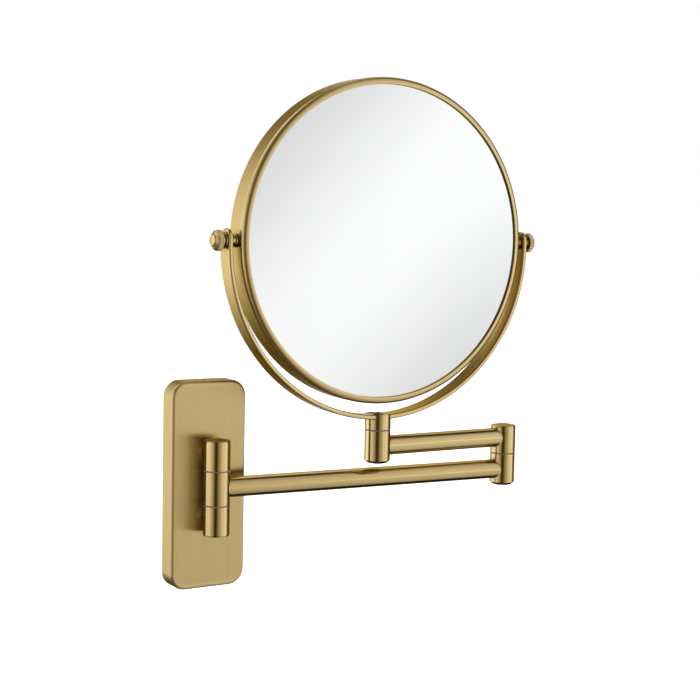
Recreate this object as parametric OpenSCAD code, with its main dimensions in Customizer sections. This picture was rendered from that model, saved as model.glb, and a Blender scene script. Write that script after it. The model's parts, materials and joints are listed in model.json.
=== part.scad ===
// Wall mirror on a folding two-part arm.
// Frame: origin at the centre of the wall plate's back, on the wall.
// +X to the right, +Y into the wall, +Z up. Millimetres.

/* [Wall plate] */
// Width of the cover plate
plate_w = 50; // [46:1:60]
// Height of the cover plate
plate_h = 128.6; // [120:0.1:150]
// Depth of the cover plate from the wall
plate_t = 13.6; // [13:0.1:15]
// Corner radius of the cover plate, seen from the front
plate_corner_r = 10; // [6:0.5:14]
// Rounding of the cover plate's front edge
plate_edge_r = 2; // [1:0.1:3]
// Thickness of the cover plate's walls
plate_wall = 2; // [1.6:0.1:2.4]
// Distance between the two wall screws
wall_screw_spacing = 70; // [56:1:80]
// Diameter of the wall screw holes
wall_screw_hole_d = 5.2; // [4:0.1:6]

/* [Hinges] */
// Outer diameter of every hinge knuckle
knuckle_d = 16.4; // [16:0.1:17]
// Distance from the wall to the first hinge's axis
hinge_offset = 24.4; // [24:0.1:30]
// Height of a knuckle that carries an arm tube
knuckle_h = 20.8; // [20:0.1:22]
// Height of a fixed knuckle of the first hinge, and of the elbow's upper one
end_knuckle_h = 17.9; // [17:0.1:19]
// Space for a ring washer between two knuckles
ring_gap = 0.45; // [0.4:0.05:0.8]
// Height of the shallow conical caps
cap_h = 1.7; // [1:0.1:2.5]
// Diameter of the hinge pins
pin_d = 7; // [6:0.5:7]

/* [Arms] */
// Axis-to-axis length of the lower arm
lower_len = 205.2; // [180:0.1:230]
// Axis-to-axis length of the upper arm
upper_len = 98.9; // [80:0.1:120]
// Angle of the lower arm away from the wall at rest
lower_angle = 4.5; // [0:0.1:10]
// Angle of the folded upper arm away from the wall plane at rest
upper_angle = 0.6; // [0:0.1:6]
// Outer diameter of the arm tubes
tube_d = 12.6; // [12:0.1:12.8]
// Wall thickness of the arm tubes
tube_wall = 1.1; // [0.8:0.1:1.5]

/* [Yoke] */
// Outer radius of the yoke's arc
yoke_r = 109; // [108.5:0.1:114]
// Drop of the arc's centre below the tilt axis
yoke_drop = 2.9; // [0:0.1:5]
// Width of the yoke strip
strip_w = 12.2; // [10:0.1:12.4]
// Thickness of the yoke strip
strip_t = 3; // [2.4:0.1:3.2]
// Height of the tilt axis above the lower arm's axis
tilt_z = 150.5; // [150.5:0.1:156]
// Swivel of the yoke at rest, seen from above
swivel_angle = -1; // [-5:0.5:5]

/* [Mirror] */
// Outer radius of the mirror frame
frame_r = 101.6; // [101:0.1:101.8]
// Depth of the mirror frame
frame_t = 17.7; // [17:0.1:19]
// Visible radius of the glass
glass_r = 97.2; // [96:0.1:97.6]
// Thickness of the frame's lips in front of the glass
lip_t = 1.4; // [1:0.1:1.5]
// Rounding of the frame's outer front edge
frame_edge_r = 3.4; // [2:0.1:3.8]
// Thickness of the plain glass
plain_glass_t = 3; // [2:0.1:3.2]
// Thickness of the magnifying glass
magnifier_t = 2.5; // [2:0.1:3]
// Radius of curvature of the magnifying glass
magnifier_curve_r = 750; // [700:10:1200]

/* [Thumb nuts] */
// Outer diameter of the knurled thumb nuts
nut_d = 12.4; // [12:0.1:14]
// Length of the knurled part
knurl_len = 4.9; // [3.8:0.1:5.4]
// Number of knurl ridges
knurl_count = 32; // [24:1:40]
// Depth of the knurl
knurl_depth = 0.35; // [0.2:0.05:0.5]
// Diameter of the tilt studs
stud_d = 5; // [4:0.1:5]

/* [Hidden] */
$fn = 96;

// Finishes
brass = [0.72, 0.60, 0.37];
steel = [0.62, 0.63, 0.65];
nylon = [0.55, 0.55, 0.57];
clear = [0.93, 0.95, 0.96];
foam = [0.25, 0.25, 0.27];

// Fits
running = 0.05;          // radial and axial clearance where pieces turn
eps = 0.5;               // overshoot of a cutting tool past the surface that it cuts

// Hinge layout, heights counted from the lower arm's axis
knuckle_r = knuckle_d / 2;
pin_r = pin_d / 2;
half_h = knuckle_h / 2;
rise = knuckle_h + ring_gap - 0.1;       // height of the upper arm's axis
bush_r = pin_r + 1.3;                    // outer radius of the nylon bushes
counterbore_r = 5.8;
counterbore_h = 5.2;
knuckle_chamfer = 1.6;
spring_t = 0.9;
hinge_nut_r = 5.5;
hinge_nut_h = 4.7;
thread_r = 2.5;                          // threaded end of the elbow and swivel pins
tube_r = tube_d / 2;
spigot_r = tube_r - tube_wall;
spigot_len = 16;
elbow_z = half_h;                        // top of the elbow's lower knuckle
elbow_top_z = elbow_z + ring_gap + end_knuckle_h;
swivel_z = rise + half_h;                // top of the upper arm's swivel knuckle
post_z = swivel_z + ring_gap;            // bottom of the swivel post
arc_z = tilt_z - yoke_drop;              // height of the yoke arc's centre
strip_floor_z = arc_z - yoke_r;          // underside of the yoke strip
post_lip = 0.4;                          // the post's ends stand this far above the strip
post_top_z = strip_floor_z + strip_t + post_lip;
column_top_z = half_h + ring_gap + end_knuckle_h;

// Wall plate layout
bracket_t = 2;
bracket_w = 34;
bracket_flange = 10.2;
bracket_h = plate_h - 2 * plate_wall - 2;
set_screw_y = 6.8;                       // distance of the cover screws from the wall
set_screw_r = 2.4;
fixed_post_r = 5;
fixed_post_z = (half_h + ring_gap + column_top_z) / 2;
fixing_screw_r = 2;
fixing_screw_bite = 4.6;

// Tilt pivot layout, distances from the mirror's centre along the tilt axis
stud_r = stud_d / 2;
eye_r = strip_w / 2;
eye_rise = 1.1;                          // height of the eyes' round ends above the tilt axis
stud_in = 93.5;
nut_in = yoke_r + 0.9;                   // inner face of a thumb nut
stud_out = nut_in + 6;
spacer_r = 4.1;
spacer_neck_r = 3.2;
spacer_flange = 1.3;
band_wall = 1.4;
band_in_r = frame_r - band_wall;
frame_back_edge_r = 1;
skirt_r = band_in_r - 1;                 // inner radius of the rear bezel's skirt
front_glass_z = frame_t / 2 - lip_t - running;

// Places of the hinge axes in plan
column = [0, -hinge_offset];
elbow = column + lower_len * [cos(lower_angle), -sin(lower_angle)];
pivot = elbow + upper_len * [-cos(upper_angle), sin(upper_angle)];

module at_column() {
    translate([column.x, column.y, 0])
        children();
}

// Local +X runs along the lower arm from the first hinge to the elbow
module along_lower_arm() {
    translate([column.x, column.y, 0])
        rotate([0, 0, -lower_angle])
            children();
}

// Local +X runs along the upper arm from the elbow to the swivel
module along_upper_arm() {
    translate([elbow.x, elbow.y, 0])
        rotate([0, 0, 180 - upper_angle])
            children();
}

module at_elbow() {
    translate([elbow.x, elbow.y, 0])
        children();
}

module at_swivel() {
    translate([pivot.x, pivot.y, 0])
        rotate([0, 0, swivel_angle])
            children();
}

// Local X is the tilt axis, local Y is up and local Z points out of the plain glass
module at_tilt() {
    at_swivel()
        translate([0, 0, tilt_z])
            rotate([90, 0, 0])
                children();
}

// Local +Z runs outward along the tilt axis on the given side, from the mirror's centre
module along_tilt(side) {
    at_tilt()
        rotate([0, side * 90, 0])
            children();
}

module ring(outer_r, inner_r, h) {
    difference() {
        cylinder(r = outer_r, h = h);
        translate([0, 0, -eps])
            cylinder(r = inner_r, h = h + 2 * eps);
    }
}

// Ring washer in the gap that starts at height z
module ring_washer(z) {
    translate([0, 0, z + running])
        ring(knuckle_r - 0.1, pin_r + running, ring_gap - 2 * running);
}

// ---- Wall plate -------------------------------------------------------

// Half of the cover's cross-section, with the outer front corner rounded
module cover_section(half) {
    union() {
        square([half - plate_edge_r, plate_t]);
        square([half, plate_t - plate_edge_r]);
        translate([half - plate_edge_r, plate_t - plate_edge_r])
            circle(r = plate_edge_r);
    }
}

module cover_bar(half, len) {
    rotate([90, 0, 0])
        linear_extrude(len, center = true)
            union() {
                cover_section(half);
                mirror([1, 0])
                    cover_section(half);
            }
}

module at_plate_corners(w, h, r) {
    for (sx = [-1, 1])
        for (sy = [-1, 1])
            translate([sx * (w / 2 - r), sy * (h / 2 - r), 0])
                children();
}

module cover_outside() {
    union() {
        cover_bar(plate_w / 2, plate_h - 2 * plate_corner_r);
        rotate([0, 0, 90])
            cover_bar(plate_h / 2, plate_w - 2 * plate_corner_r);
        at_plate_corners(plate_w, plate_h, plate_corner_r)
            rotate_extrude()
                cover_section(plate_corner_r);
    }
}

module cover_inside() {
    w = plate_w - 2 * plate_wall;
    h = plate_h - 2 * plate_wall;
    r = plate_corner_r - plate_wall;
    depth = plate_t - plate_wall + eps;
    translate([0, 0, -eps])
        union() {
            translate([-w / 2 + r, -h / 2, 0])
                cube([w - 2 * r, h, depth]);
            translate([-w / 2, -h / 2 + r, 0])
                cube([w, h - 2 * r, depth]);
            at_plate_corners(w, h, r)
                cylinder(r = r, h = depth);
        }
}

// Hollow cover that hides the bracket and carries the first hinge
module cover_plate() {
    color(brass)
        rotate([90, 0, 0])
            difference() {
                cover_outside();
                cover_inside();
                for (s = [-1, 1]) {
                    translate([0, s * fixed_post_z, plate_t - plate_wall - eps])
                        cylinder(r = fixing_screw_r, h = plate_wall + 2 * eps);
                    translate([0, s * (plate_h / 2 - plate_wall - eps), set_screw_y])
                        rotate([-s * 90, 0, 0])
                            cylinder(r = set_screw_r, h = plate_wall + 2 * eps);
                    translate([0, s * (plate_h / 2 - 0.6), set_screw_y])
                        rotate([-s * 90, 0, 0])
                            cylinder(r1 = set_screw_r, r2 = set_screw_r + 0.9, h = 0.9);
                }
            }
}

// Steel strip on the wall, bent forward at both ends to take the cover's set screws
module wall_bracket() {
    color(steel)
        rotate([90, 0, 0])
            difference() {
                union() {
                    translate([-bracket_w / 2, -bracket_h / 2, 0])
                        cube([bracket_w, bracket_h, bracket_t]);
                    for (s = [-1, 1])
                        translate([-bracket_w / 2, s * (bracket_h / 2 - bracket_t / 2) - bracket_t / 2, 0])
                            cube([bracket_w, bracket_t, bracket_flange]);
                }
                for (s = [-1, 1]) {
                    translate([0, s * wall_screw_spacing / 2, -eps])
                        cylinder(d = wall_screw_hole_d, h = bracket_t + 2 * eps);
                    translate([0, s * (bracket_h / 2 - bracket_t - eps), set_screw_y])
                        rotate([-s * 90, 0, 0])
                            cylinder(r = set_screw_r, h = bracket_t + 2 * eps);
                }
            }
}

// Grub screw along local +Z, with a hexagon socket in its outer end
module grub_screw(len) {
    socket_r = 1.4;
    socket_h = 2.5;
    difference() {
        cylinder(r = set_screw_r, h = len);
        translate([0, 0, len - socket_h])
            cylinder(r = socket_r, h = socket_h + eps, $fn = 6);
    }
}

// The upper screw sits just inside the cover, the lower one stands slightly proud
module cover_screws() {
    len = 6.5;
    upper_end = plate_h / 2 - 0.5;
    lower_end = plate_h / 2 + 0.4;
    color(steel) {
        translate([0, -set_screw_y, upper_end - len])
            grub_screw(len);
        translate([0, -set_screw_y, -lower_end + len])
            rotate([180, 0, 0])
                grub_screw(len);
    }
}

// ---- First hinge ------------------------------------------------------

// Fixed knuckle with a short post that stands on the cover's front face
module fixed_knuckle() {
    bottom = half_h + ring_gap;
    post_len = hinge_offset - plate_t;
    difference() {
        union() {
            translate([0, 0, bottom])
                cylinder(r = knuckle_r, h = end_knuckle_h);
            translate([0, 0, fixed_post_z])
                rotate([-90, 0, 0])
                    cylinder(r = fixed_post_r, h = post_len);
        }
        translate([0, 0, bottom - eps])
            cylinder(r = pin_r, h = end_knuckle_h + 2 * eps);
        translate([0, post_len + eps, fixed_post_z])
            rotate([90, 0, 0])
                cylinder(r = fixing_screw_r, h = fixing_screw_bite + eps + 0.5);
    }
}

module upper_fixed_knuckle() {
    color(brass)
        at_column()
            fixed_knuckle();
}

module lower_fixed_knuckle() {
    color(brass)
        at_column()
            mirror([0, 0, 1])
                fixed_knuckle();
}

// Two pan-head screws from inside the cover into the knuckles' posts
module knuckle_screws() {
    head_r = 3.6;
    head_h = 2.2;
    color(steel)
        for (s = [-1, 1])
            translate([0, -plate_t + plate_wall, s * fixed_post_z]) {
                rotate([90, 0, 0])
                    cylinder(r = fixing_screw_r, h = plate_wall + fixing_screw_bite);
                rotate([-90, 0, 0])
                    difference() {
                        cylinder(r1 = head_r, r2 = head_r - 0.6, h = head_h);
                        translate([0, 0, head_h - 1.2])
                            linear_extrude(2)
                                union() {
                                    square([3.8, 0.9], center = true);
                                    square([0.9, 3.8], center = true);
                                }
                    }
            }
}

module base_hinge_pin() {
    len = 2 * column_top_z - 5;
    color(steel)
        at_column()
            cylinder(r = pin_r, h = len, center = true);
}

// Shallow conical cap with a spigot, standing on local z = 0
module hinge_cap() {
    spigot_h = 2.2;
    union() {
        rotate_extrude()
            polygon([[0, 0], [knuckle_r - 0.15, 0], [knuckle_r - 0.15, 0.3], [1.8, cap_h - 0.1], [0, cap_h]]);
        translate([0, 0, -spigot_h])
            cylinder(r = pin_r, h = spigot_h + 0.1);
    }
}

module base_cap_top() {
    color(brass)
        at_column()
            translate([0, 0, column_top_z])
                hinge_cap();
}

module base_cap_bottom() {
    color(brass)
        at_column()
            translate([0, 0, -column_top_z])
                rotate([180, 0, 0])
                    hinge_cap();
}

module base_ring_washers() {
    color(nylon)
        at_column() {
            ring_washer(half_h);
            mirror([0, 0, 1])
                ring_washer(half_h);
        }
}

// ---- Arms -------------------------------------------------------------

// Solid stub inside the tube, on the knuckle's side at height z
module tube_spigot(z) {
    translate([0, 0, z])
        rotate([0, 90, 0])
            cylinder(r = spigot_r, h = spigot_len);
}

// Tube along local +X, coped to the knuckles at both ends
module arm_tube(len, z) {
    difference() {
        translate([0, 0, z])
            rotate([0, 90, 0])
                difference() {
                    cylinder(r = tube_r, h = len);
                    translate([0, 0, -eps])
                        cylinder(r = spigot_r, h = len + 2 * eps);
                }
        for (x = [0, len])
            translate([x, 0, z])
                cylinder(r = knuckle_r, h = knuckle_h, center = true);
    }
}

// Knuckle with a chamfered foot that hides the nut of a through pin; the arm's axis is local z = 0
module nutted_knuckle() {
    foot_r = knuckle_r - knuckle_chamfer;
    difference() {
        union() {
            rotate_extrude()
                polygon([
                    [0, -half_h], [foot_r, -half_h], [knuckle_r, -half_h + knuckle_chamfer],
                    [knuckle_r, half_h], [0, half_h],
                ]);
            tube_spigot(0);
        }
        translate([0, 0, -half_h - eps])
            cylinder(r = bush_r, h = knuckle_h + 2 * eps);
        translate([0, 0, -half_h - eps])
            cylinder(r = counterbore_r, h = counterbore_h + eps);
    }
}

// Nylon bush above a nutted knuckle's counterbore
module hinge_bush() {
    translate([0, 0, -half_h + counterbore_h])
        ring(bush_r, pin_r + running, knuckle_h - counterbore_h - 0.1);
}

// Conical spring washer under the nut, resting on the counterbore's floor
module spring_washer() {
    top = -half_h + counterbore_h - running;
    difference() {
        translate([0, 0, top - spring_t])
            cylinder(r1 = hinge_nut_r, r2 = hinge_nut_r - 0.6, h = spring_t);
        translate([0, 0, top - spring_t - eps])
            cylinder(r = thread_r, h = spring_t + 2 * eps);
    }
}

// Round slotted nut that stands slightly below the knuckle's foot
module hinge_nut() {
    slot_w = 1.3;
    slot_h = 1.4;
    edge = 0.6;
    top = -half_h + counterbore_h - running - spring_t;
    bottom = top - hinge_nut_h;
    difference() {
        rotate_extrude()
            polygon([
                [0, bottom], [hinge_nut_r - edge, bottom], [hinge_nut_r, bottom + edge],
                [hinge_nut_r, top], [0, top],
            ]);
        translate([0, 0, bottom + slot_h])
            cylinder(r = thread_r, h = hinge_nut_h);
        translate([-hinge_nut_r - eps, -slot_w / 2, bottom - eps])
            cube([2 * (hinge_nut_r + eps), slot_w, slot_h + eps]);
    }
}

// Pin with a threaded lower end; its shank runs up to height top
module stepped_pin(top) {
    shoulder = -half_h + counterbore_h - running;
    thread_len = spring_t + hinge_nut_h - 1.5;
    union() {
        translate([0, 0, shoulder])
            cylinder(r = pin_r, h = top - shoulder);
        translate([0, 0, shoulder - thread_len])
            cylinder(r = thread_r, h = thread_len + 0.1);
    }
}

module base_arm_knuckle() {
    color(brass)
        along_lower_arm()
            difference() {
                union() {
                    cylinder(r = knuckle_r, h = knuckle_h, center = true);
                    tube_spigot(0);
                }
                cylinder(r = bush_r, h = knuckle_h + 2 * eps, center = true);
            }
}

module base_bush() {
    h = knuckle_h - 0.2;
    color(nylon)
        at_column()
            translate([0, 0, -h / 2])
                ring(bush_r, pin_r + running, h);
}

module lower_arm_tube() {
    color(brass)
        along_lower_arm()
            arm_tube(lower_len, 0);
}

module elbow_lower_knuckle() {
    color(brass)
        at_elbow()
            rotate([0, 0, 180 - lower_angle])
                nutted_knuckle();
}

module elbow_bush() {
    color(nylon)
        at_elbow()
            hinge_bush();
}

module elbow_ring_washer() {
    color(nylon)
        at_elbow()
            ring_washer(elbow_z);
}

module elbow_upper_knuckle() {
    color(brass)
        along_upper_arm()
            difference() {
                union() {
                    translate([0, 0, elbow_z + ring_gap])
                        cylinder(r = knuckle_r, h = end_knuckle_h);
                    tube_spigot(rise);
                }
                translate([0, 0, elbow_z])
                    cylinder(r = pin_r, h = ring_gap + end_knuckle_h + eps);
            }
}

module elbow_cap() {
    color(brass)
        at_elbow()
            translate([0, 0, elbow_top_z])
                hinge_cap();
}

module elbow_pin() {
    color(steel)
        at_elbow()
            stepped_pin(elbow_top_z - 2.5);
}

module elbow_spring_washer() {
    color(steel)
        at_elbow()
            spring_washer();
}

module elbow_nut() {
    color(brass)
        at_elbow()
            rotate([0, 0, 60])
                hinge_nut();
}

module upper_arm_tube() {
    color(brass)
        along_upper_arm()
            arm_tube(upper_len, rise);
}

module swivel_knuckle() {
    color(brass)
        translate([pivot.x, pivot.y, rise])
            rotate([0, 0, -upper_angle])
                nutted_knuckle();
}

module swivel_bush() {
    color(nylon)
        at_swivel()
            translate([0, 0, rise])
                hinge_bush();
}

module swivel_ring_washer() {
    color(nylon)
        at_swivel()
            ring_washer(swivel_z);
}

// ---- Yoke -------------------------------------------------------------

// Post with a slot across its top, in which the yoke strip lies on an arched floor
module swivel_post() {
    bore_top = post_z + 3.6;
    slot_clearance = 0.05;
    color(brass)
        at_swivel()
            difference() {
                translate([0, 0, post_z])
                    cylinder(r = knuckle_r, h = post_top_z - post_z);
                translate([0, 0, arc_z])
                    rotate([90, 0, 0])
                        cylinder(r = yoke_r, h = strip_w + 2 * slot_clearance, center = true, $fn = 360);
                translate([0, 0, post_z - eps])
                    cylinder(r = pin_r, h = bore_top - post_z + eps);
                translate([0, 0, bore_top - eps])
                    cylinder(r = fixing_screw_r, h = post_top_z - bore_top);
            }
}

module swivel_pin() {
    color(steel)
        at_swivel()
            translate([0, 0, rise])
                stepped_pin(post_z + 3.4 - rise);
}

module swivel_spring_washer() {
    color(steel)
        at_swivel()
            translate([0, 0, rise])
                spring_washer();
}

module swivel_nut() {
    color(brass)
        at_swivel()
            translate([0, 0, rise])
                rotate([0, 0, 25])
                    hinge_nut();
}

// Strip bent into a half ring, straight up to the round eyes that hold the tilt studs
module yoke() {
    inner_r = yoke_r - strip_t;
    color(brass)
        at_tilt()
            difference() {
                union() {
                    translate([0, -yoke_drop, 0])
                        linear_extrude(strip_w, center = true)
                            difference() {
                                circle(r = yoke_r, $fn = 360);
                                circle(r = inner_r, $fn = 360);
                                translate([-2 * yoke_r, 0])
                                    square([4 * yoke_r, 2 * yoke_r]);
                            }
                    for (s = [-1, 1]) {
                        translate([s * (inner_r + strip_t / 2) - strip_t / 2, -yoke_drop, -strip_w / 2])
                            cube([strip_t, yoke_drop + eye_rise, strip_w]);
                        translate([s * inner_r, eye_rise, 0])
                            rotate([0, s * 90, 0])
                                cylinder(r = eye_r, h = strip_t);
                    }
                }
                for (s = [-1, 1])
                    translate([s * (inner_r - eps), 0, 0])
                        rotate([0, s * 90, 0])
                            cylinder(r = stud_r + running, h = strip_t + 2 * eps);
                translate([0, -yoke_drop - inner_r + eps, 0])
                    rotate([90, 0, 0])
                        cylinder(r = fixing_screw_r, h = strip_t + 2 * eps);
            }
}

// Button-head screw that holds the strip down in the post's slot
module yoke_screw() {
    head_r = 3.4;
    head_h = 0.8;
    floor_z = strip_floor_z + strip_t + 0.05;
    color(steel)
        at_swivel()
            difference() {
                union() {
                    translate([0, 0, post_z + 4])
                        cylinder(r = fixing_screw_r, h = floor_z - post_z - 4 + 0.1);
                    translate([0, 0, floor_z])
                        cylinder(r1 = head_r, r2 = head_r - 0.8, h = head_h);
                }
                translate([0, 0, floor_z + 0.3])
                    cylinder(r = 1.3, h = head_h, $fn = 6);
            }
}

// ---- Mirror -----------------------------------------------------------

// Quarter disc round a centre, its square corner turned to (sx, sy)
module corner_disc(at, r, sx, sy) {
    translate(at)
        intersection() {
            circle(r = r);
            scale([sx, sy])
                square(r);
        }
}

// Cross-section of the band with its front lip: a large outer edge in front, a small one behind
module frame_section() {
    half = frame_t / 2;
    front_z = half - frame_edge_r;
    back_z = frame_back_edge_r - half;
    edge_x = frame_r - frame_edge_r;
    difference() {
        union() {
            corner_disc([edge_x, front_z], frame_edge_r, 1, 1);
            translate([glass_r, front_z])
                square([edge_x - glass_r, frame_edge_r]);
            translate([band_in_r, back_z])
                square([band_wall, front_z - back_z]);
            corner_disc([frame_r - frame_back_edge_r, back_z], frame_back_edge_r, 1, -1);
            translate([band_in_r, -half])
                square([band_wall - frame_back_edge_r, frame_back_edge_r]);
        }
        translate([glass_r - eps, 0])
            square([band_in_r - glass_r + eps, half - lip_t]);
    }
}

// Band round both glasses, with the front lip in one piece
module mirror_frame() {
    color(brass)
        at_tilt()
            difference() {
                rotate_extrude($fn = 360)
                    frame_section();
                rotate([0, 90, 0])
                    cylinder(r = stud_r, h = 2 * frame_r + 2, center = true);
            }
}

// Ring pressed into the back of the band behind the magnifying glass
module rear_bezel() {
    skirt_h = 2.2;
    color(brass)
        at_tilt()
            rotate_extrude($fn = 360)
                union() {
                    translate([glass_r, -frame_t / 2])
                        square([band_in_r - glass_r, lip_t]);
                    translate([skirt_r, -frame_t / 2 + lip_t / 2])
                        square([band_in_r - skirt_r, skirt_h + lip_t / 2]);
                }
}

module plain_glass() {
    glass_edge_r = band_in_r - 0.3;
    color(clear)
        at_tilt()
            translate([0, 0, front_glass_z - plain_glass_t])
                cylinder(r = glass_edge_r, h = plain_glass_t, $fn = 360);
}

// Cross-section between the magnifying glass's two curved faces
module magnifier_section(edge_r, thickness, depth) {
    rim_z = -frame_t / 2 + lip_t + running;
    curve_z = rim_z - sqrt(pow(magnifier_curve_r, 2) - pow(edge_r, 2));
    intersection() {
        translate([0, rim_z])
            square([edge_r, depth]);
        translate([0, curve_z])
            difference() {
                circle(r = magnifier_curve_r + thickness, $fn = 2880);
                circle(r = magnifier_curve_r, $fn = 2880);
            }
    }
}

module magnifying_glass() {
    color(clear)
        at_tilt()
            rotate_extrude($fn = 360)
                magnifier_section(skirt_r - 0.3, magnifier_t, 12);
}

// Foam ring that presses both glasses against their lips
module packing_ring() {
    outer_r = 91.5;
    inner_r = 84;
    bottom = -3.1;
    color(foam)
        at_tilt()
            translate([0, 0, bottom])
                ring(outer_r, inner_r, front_glass_z - plain_glass_t - running - bottom);
}

// Hexagon nuts soldered inside the band
module stud_nuts() {
    nut_r = 4.5;
    nut_len = 5.2;
    color(steel)
        for (s = [-1, 1])
            along_tilt(s)
                difference() {
                    translate([0, 0, band_in_r - nut_len])
                        cylinder(r = nut_r, h = nut_len - 0.12, $fn = 6);
                    translate([0, 0, band_in_r - nut_len - eps])
                        cylinder(r = stud_r, h = nut_len + 2 * eps);
                }
}

module tilt_studs() {
    color(steel)
        for (s = [-1, 1])
            along_tilt(s)
                translate([0, 0, stud_in])
                    cylinder(r = stud_r, h = stud_out - stud_in);
}

// Spool-shaped collars that keep the yoke clear of the band
module tilt_spacers() {
    length = yoke_r - strip_t - running - frame_r;
    color(brass)
        for (s = [-1, 1])
            along_tilt(s)
                translate([0, 0, frame_r])
                    rotate_extrude()
                        polygon([
                            [stud_r, 0.1], [spacer_r, 0.1], [spacer_r, spacer_flange],
                            [spacer_neck_r, spacer_flange + 0.3],
                            [spacer_neck_r, length - spacer_flange],
                            [spacer_r, length - spacer_flange + 0.3],
                            [spacer_r, length], [stud_r, length],
                        ]);
}

// Cup washers between the yoke's eyes and the thumb nuts
module tilt_washers() {
    washer_r = 4.9;
    color(brass)
        for (s = [-1, 1])
            along_tilt(s)
                translate([0, 0, yoke_r + running])
                    ring(washer_r, stud_r, nut_in - yoke_r - 2 * running);
}

// ---- Thumb nuts -------------------------------------------------------

module knurl_outline() {
    ridge_r = nut_d / 2;
    step = 180 / knurl_count;
    polygon([
        for (i = [0 : 2 * knurl_count - 1])
            (ridge_r - (i % 2) * knurl_depth) * [cos(i * step), sin(i * step)]
    ]);
}

// Knurled nut with a neck on the yoke's side and a button end; local z = 0 is its inner face
module thumb_nut() {
    neck_r = 3.9;
    neck_h = 1.8;
    button_r = 3.7;
    button_h = 0.9;
    button_dome = 0.3;
    crown_h = 1.8;
    crown_in = 1.9;
    inner_chamfer = 0.5;
    clear = 0.1;
    top = neck_h + knurl_len;
    ridge_r = nut_d / 2;
    difference() {
        union() {
            cylinder(r = neck_r, h = neck_h + clear);
            intersection() {
                translate([0, 0, neck_h])
                    linear_extrude(knurl_len)
                        knurl_outline();
                rotate_extrude()
                    polygon([
                        [0, neck_h], [ridge_r - inner_chamfer, neck_h],
                        [ridge_r + clear, neck_h + inner_chamfer + clear],
                        [ridge_r + clear, top - crown_h - clear], [ridge_r - crown_in, top], [0, top],
                    ]);
            }
            rotate_extrude()
                polygon([
                    [0, top - clear], [button_r, top - clear], [button_r, top + button_h - 2 * button_dome],
                    [button_r - 2 * button_dome, top + button_h - button_dome / 2], [0, top + button_h],
                ]);
        }
        translate([0, 0, -eps])
            cylinder(r = stud_r + running, h = stud_out - nut_in + 0.4 + eps);
    }
}

module thumb_nut_left() {
    color(brass)
        along_tilt(-1)
            translate([0, 0, nut_in])
                thumb_nut();
}

module thumb_nut_right() {
    color(brass)
        along_tilt(1)
            translate([0, 0, nut_in])
                thumb_nut();
}

wall_bracket();
cover_plate();
cover_screws();
upper_fixed_knuckle();
lower_fixed_knuckle();
knuckle_screws();
base_hinge_pin();
base_cap_top();
base_cap_bottom();
base_ring_washers();
base_arm_knuckle();
base_bush();
lower_arm_tube();
elbow_lower_knuckle();
elbow_bush();
elbow_ring_washer();
elbow_upper_knuckle();
elbow_cap();
elbow_pin();
elbow_spring_washer();
elbow_nut();
upper_arm_tube();
swivel_knuckle();
swivel_bush();
swivel_ring_washer();
swivel_post();
swivel_pin();
swivel_spring_washer();
swivel_nut();
yoke();
yoke_screw();
mirror_frame();
rear_bezel();
plain_glass();
magnifying_glass();
packing_ring();
stud_nuts();
tilt_studs();
tilt_spacers();
tilt_washers();
thumb_nut_left();
thumb_nut_right();
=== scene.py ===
"""Looks of the extendable shaving mirror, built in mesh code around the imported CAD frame.

Sizes are in millimetres and become metres when a mesh is written. Every piece lies in the local
frame of its axis: +Z along a hinge or tilt axis, +X along an arm.
"""
import json
from math import atan2, cos, pi, radians, sin, sqrt, tan

import bmesh
import bpy
from mathutils import Matrix, Vector


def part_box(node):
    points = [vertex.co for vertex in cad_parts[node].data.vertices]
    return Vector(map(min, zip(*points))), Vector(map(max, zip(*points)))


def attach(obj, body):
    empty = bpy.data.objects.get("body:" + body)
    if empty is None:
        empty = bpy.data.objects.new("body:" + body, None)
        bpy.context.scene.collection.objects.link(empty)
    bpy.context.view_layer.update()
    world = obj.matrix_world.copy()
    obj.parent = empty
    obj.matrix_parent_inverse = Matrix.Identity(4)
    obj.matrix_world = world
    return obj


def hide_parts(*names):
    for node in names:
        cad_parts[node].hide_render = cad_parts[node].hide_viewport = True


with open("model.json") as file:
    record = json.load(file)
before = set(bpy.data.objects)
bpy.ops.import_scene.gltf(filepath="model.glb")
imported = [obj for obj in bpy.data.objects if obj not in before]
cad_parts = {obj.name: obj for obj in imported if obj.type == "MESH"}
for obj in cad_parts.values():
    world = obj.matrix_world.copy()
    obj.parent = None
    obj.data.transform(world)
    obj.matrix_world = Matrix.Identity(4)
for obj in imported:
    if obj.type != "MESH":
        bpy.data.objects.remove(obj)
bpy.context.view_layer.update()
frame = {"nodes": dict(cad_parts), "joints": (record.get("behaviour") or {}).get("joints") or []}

MM = 0.001
GRAIN = "grain"                      # UV layer in millimetres: U runs along the brushing

# ---- Sizes, worked out from the frame -----------------------------------------------------------

JOINTS = {joint["name"]: joint for joint in frame["joints"]}


def span(node, axis):
    """Lowest and highest coordinate of a CAD node along an axis, in millimetres."""
    low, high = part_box(node)
    return low[axis] / MM, high[axis] / MM


def place(joint):
    return Vector(JOINTS[joint]["pos_m"]) / MM


X, Y, Z = 0, 1, 2
COLUMN, ELBOW, SWIVEL, TILT = (
    place(name) for name in ("base_swing", "elbow_swing", "mirror_swivel", "mirror_tilt")
)
TILT_AXIS = Vector(JOINTS["mirror_tilt"]["axis"]).normalized()

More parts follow.
